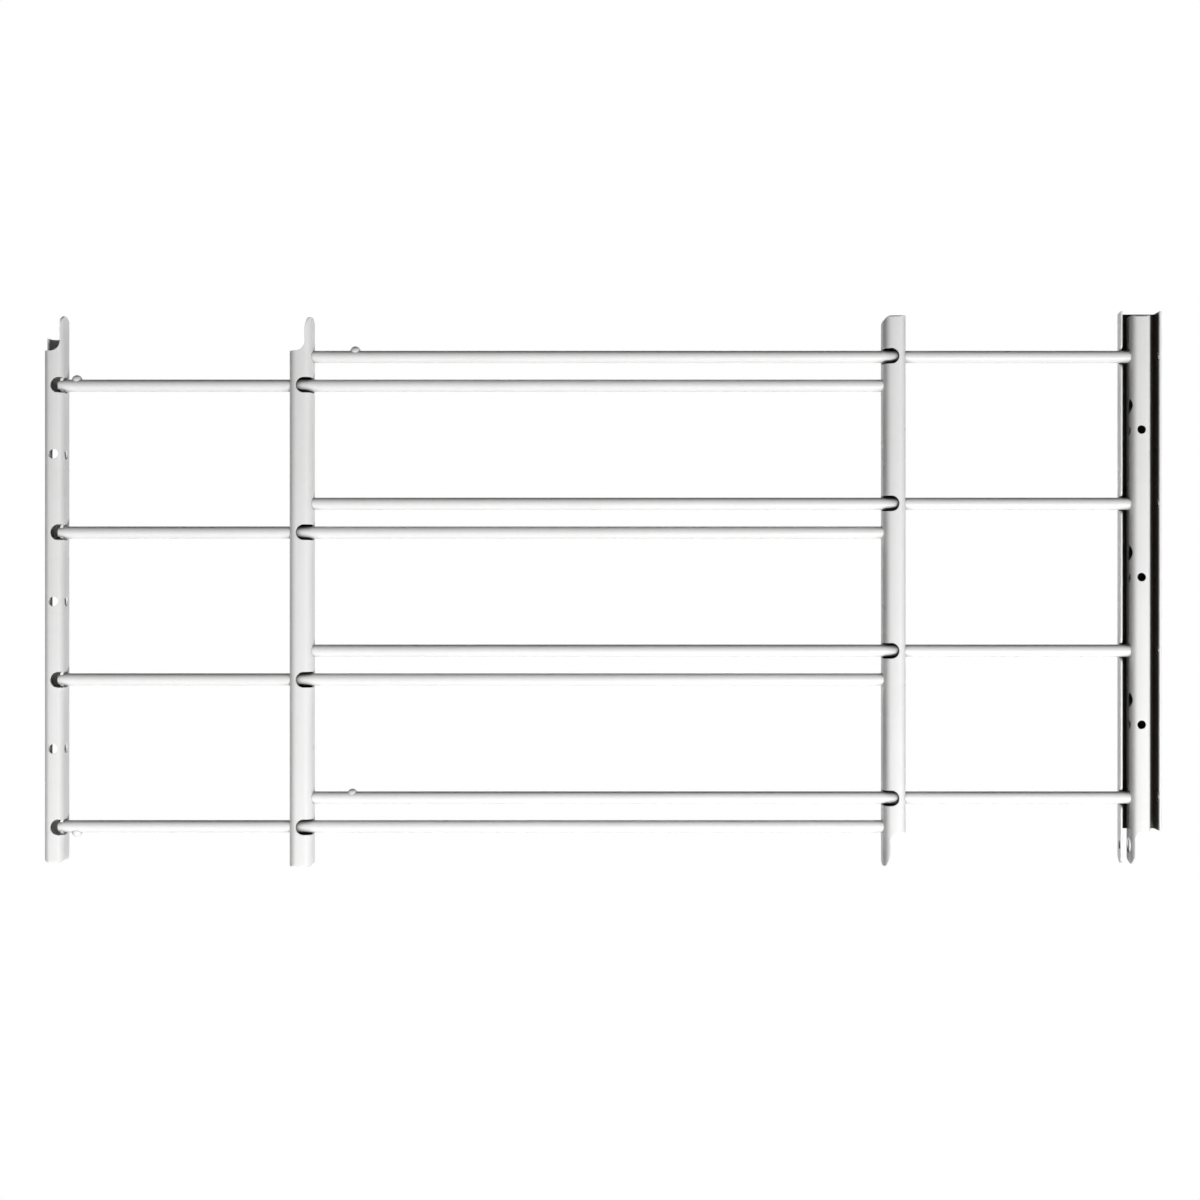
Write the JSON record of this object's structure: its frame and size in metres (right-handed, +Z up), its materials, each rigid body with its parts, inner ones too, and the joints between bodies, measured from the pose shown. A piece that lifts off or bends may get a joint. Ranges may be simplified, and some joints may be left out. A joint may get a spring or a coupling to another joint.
{
  "type": "window security bar",
  "caption": "Telescoping ladder of round steel rods between folded steel uprights, with an end rail that stands in a notched jamb channel with a lock ear.",
  "frame": {"origin": "on the mounting channel's jamb face, in the plane of the rod axes, at the middle of the uprights' height", "axes": "+X out of the jamb face, so the bar spans the window towards -X; the room is at -Y; +Z up"},
  "size_m": [0.9097, 0.0218, 0.4518],
  "materials": {
    "enamelled_profile": "gloss white enamel on folded sheet steel",
    "enamelled_channel": "gloss white enamel on folded sheet steel",
    "enamelled_rod": "gloss white enamel on round steel bar",
    "enamelled_weld": "white enamel over rough weld metal"
  },
  "bodies": {
    "jamb_channel": {"mounting_channel": "enamelled_channel"},
    "right_half": {"right_end_rail": "enamelled_profile", "right_half_upright": "enamelled_profile", "right_rod_1": "enamelled_rod", "right_rod_2": "enamelled_rod", "right_rod_3": "enamelled_rod", "right_rod_4": "enamelled_rod", "right_top_stop_button": "enamelled_rod", "right_bottom_stop_button": "enamelled_rod", "right_rail_welds": "enamelled_weld", "right_upright_welds": "enamelled_weld"},
    "left_half": {"left_end_rail": "enamelled_profile", "left_half_upright": "enamelled_profile", "left_rod_1": "enamelled_rod", "left_rod_2": "enamelled_rod", "left_rod_3": "enamelled_rod", "left_rod_4": "enamelled_rod", "left_top_stop_button": "enamelled_rod", "left_bottom_stop_button": "enamelled_rod", "left_rail_welds": "enamelled_weld", "left_upright_welds": "enamelled_weld"}
  },
  "joints": [
    {"name": "pull_out", "type": "slide", "parent": "jamb_channel", "child": "right_half", "axis": [0, -1, 0], "range_m": [0, 0.03]},
    {"name": "telescope", "type": "slide", "parent": "right_half", "child": "left_half", "axis": [1, 0, 0], "range_m": [-0.4257, 0.1696]}
  ]
}
